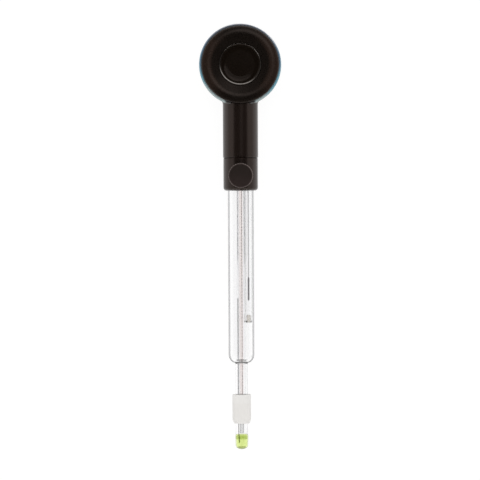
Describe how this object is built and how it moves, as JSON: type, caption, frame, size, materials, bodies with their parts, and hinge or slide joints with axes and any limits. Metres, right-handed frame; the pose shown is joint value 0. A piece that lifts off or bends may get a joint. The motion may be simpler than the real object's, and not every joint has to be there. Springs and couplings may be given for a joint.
{
  "type": "combination ph electrode",
  "caption": "Refillable glass pH electrode with a wireless round head, press button, light ring, knurled filling cap and movable junction sleeve.",
  "frame": {"origin": "on the surface that the electrode lies on, under the middle of its box", "axes": "+Y along the shaft towards the head, +Z out of the head's front face, +X to the right as seen from the front with the head up"},
  "size_m": [0.038, 0.197, 0.0193],
  "materials": {
    "housing_plastic": "fine satin moulding texture, brownish black",
    "ring_diffuser": "translucent blue diffuser",
    "bezel_plastic": "smooth semi-gloss black",
    "seal_rubber": "black rubber",
    "button_plastic": "smooth semi-gloss black",
    "plunger_plastic": "ivory plastic",
    "switch_plastic": "black plastic",
    "board_laminate": "green solder mask over glass laminate",
    "shield_steel": "tinned steel shield",
    "chip_plastic": "moulded black package",
    "lamp_resin": "clear lamp resin",
    "screw_steel": "zinc-plated steel",
    "holder_plastic": "ivory moulding",
    "contact_metal": "spring bronze",
    "cell_steel": "nickel-plated steel can",
    "cover_plastic": "fine satin moulding texture",
    "lead_insulation": "soft coloured insulation",
    "collar_plastic": "fine satin moulding texture",
    "cement": "cast grey resin",
    "cap_plastic": "satin, with a worn bright edge on the knurl",
    "cap_seal_rubber": "red-brown fluorocarbon rubber",
    "clear_glass": "clear blown glass",
    "bulb_glass": "yellow-green sensing glass",
    "silver_wire": "silver with a dark chloride coating",
    "sleeve_tubing": "translucent pinkish tubing",
    "lead_enamel": "enamelled copper",
    "sensor_resin": "grey cast resin",
    "frit_ceramic": "porous amber ceramic",
    "silver_chloride": "dark purplish chloride on silver",
    "fluoropolymer": "waxy white fluoropolymer"
  },
  "bodies": {
    "root": {"housing": "housing_plastic", "light_ring": "ring_diffuser", "front_bezel": "bezel_plastic", "ring_gasket": "seal_rubber", "switch_body": "switch_plastic", "circuit_board": "board_laminate", "radio_module": "shield_steel", "circuit_chips": "chip_plastic", "ring_lamps": "lamp_resin", "board_screws": "screw_steel", "battery_holder": "holder_plastic", "positive_contact": "contact_metal", "negative_contact": "contact_metal", "coin_cell": "cell_steel", "battery_gasket": "seal_rubber", "board_leads": "lead_insulation", "collar": "collar_plastic", "sealing_plug": "cement", "outer_tube": "clear_glass", "inner_stem": "clear_glass", "sensing_bulb": "bulb_glass", "bulb_wire": "silver_wire", "lead_sleeve": "sleeve_tubing", "temperature_leads": "lead_enamel", "temperature_sensor": "sensor_resin", "reference_tube": "clear_glass", "reference_frit": "frit_ceramic", "reference_element": "silver_chloride"},
    "button": {"button": "button_plastic", "switch_plunger": "plunger_plastic"},
    "battery_cover": {"battery_cover": "cover_plastic"},
    "cap_lift": {"filling_cap_seal": "cap_seal_rubber"},
    "cap": {"filling_cap": "cap_plastic", "cap_screw": "cap_plastic"},
    "sleeve": {"junction_sleeve": "fluoropolymer"}
  },
  "joints": [
    {"name": "button_press", "type": "slide", "parent": "root", "child": "button", "axis": [0, 0, -1], "range_m": [0, 0.0005], "stiffness_N_per_m": 500, "springref_m": -0.002},
    {"name": "battery_cover_turn", "type": "hinge", "parent": "root", "child": "battery_cover", "pos_m": [0, 0.0795, 0], "axis": [0, 0, 1], "range_deg": [0, 45]},
    {"name": "filling_cap_lift", "type": "slide", "parent": "root", "child": "cap_lift", "axis": [0, 0, 1], "range_m": [0, 0.002]},
    {"name": "filling_cap_turn", "type": "hinge", "parent": "cap_lift", "child": "cap", "pos_m": [0, 0.0282, 0.0165], "axis": [0, 0, 1], "range_deg": [0, 720]},
    {"name": "sleeve_slide", "type": "slide", "parent": "root", "child": "sleeve", "axis": [0, 1, 0], "range_m": [0, 0.012]}
  ],
  "couplings": [
    {"joint": "filling_cap_turn", "follows": "filling_cap_lift", "rad_per_m": 6283.1}
  ]
}
